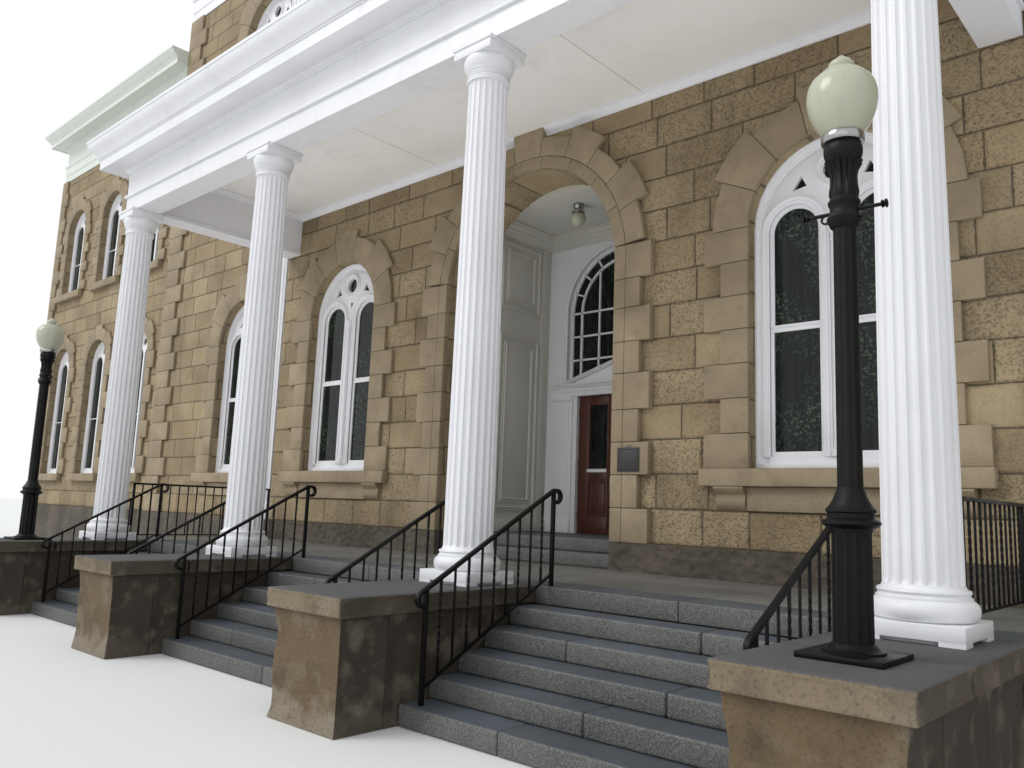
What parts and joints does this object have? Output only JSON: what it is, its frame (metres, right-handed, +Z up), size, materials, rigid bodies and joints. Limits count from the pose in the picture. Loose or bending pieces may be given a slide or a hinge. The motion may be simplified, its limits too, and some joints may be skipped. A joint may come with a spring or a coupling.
{
  "type": "town hall building",
  "caption": "Stone town hall with a columned entrance porch, front steps, arched windows, a double door, a hipped centre block and a lower wing on each side.",
  "frame": {"origin": "centre of the bounding box's footprint, at ground level", "axes": "+Z up, -Y out of the entrance front, +X to the right of a person who faces the front"},
  "size_m": [39.72, 22.472, 17.8],
  "materials": {
    "stone": "pecked sandstone blocks",
    "dressed_stone": "smooth dressed sandstone",
    "granite": "worn grey granite",
    "white_paint": "white gloss paint",
    "iron": "black paint",
    "globe": "milky glass",
    "window_glass": "clear",
    "door_wood": "dark red brown varnish",
    "roof_metal": "grey paint",
    "floor_boards": "plain boards"
  },
  "bodies": {
    "building": {"porch_base": "stone", "pier_caps": "dressed_stone", "front_steps": "granite", "porch_floor": "granite", "column_bases": "white_paint", "column_shafts": "white_paint", "column_capitals": "white_paint", "porch_beams": "white_paint", "porch_cornice": "white_paint", "porch_ceiling": "white_paint", "porch_roof": "roof_metal", "porch_parapet": "white_paint", "lamp_posts": "iron", "lamp_globes": "globe", "stair_railings": "iron", "guard_rails": "iron", "base_course": "stone", "entrance_walls": "stone", "entrance_arch_wall": "stone", "entrance_wall_upper": "stone", "outer_bay_walls": "stone", "side_walls": "stone", "back_wall": "stone", "tall_pilasters": "white_paint", "main_entablature": "white_paint", "main_roof": "roof_metal", "ground_floor": "floor_boards", "upper_floor": "floor_boards", "wing_walls": "stone", "wing_entablatures": "white_paint", "wing_roofs": "roof_metal", "stone_surrounds": "dressed_stone", "window_sills": "dressed_stone", "window_frames_lower": "white_paint", "window_frames_upper": "white_paint", "window_glass_lower": "window_glass", "window_glass_upper": "window_glass", "doorway_steps": "granite", "recess_lining": "white_paint", "door_wall": "white_paint", "door_casing": "white_paint", "fanlight_frame": "white_paint"},
    "left_door": {"door_leaf_left": "door_wood", "door_glass_left": "window_glass"},
    "right_door": {"door_leaf_right": "door_wood", "door_glass_right": "window_glass"}
  },
  "joints": [
    {"name": "left_door_hinge", "type": "hinge", "parent": "building", "child": "left_door", "pos_m": [-0.7555, -4.614, 0], "axis": [0, 0, -1], "range_deg": [0, 90]},
    {"name": "right_door_hinge", "type": "hinge", "parent": "building", "child": "right_door", "pos_m": [0.7555, -4.614, 0], "axis": [0, 0, 1], "range_deg": [0, 90]}
  ]
}
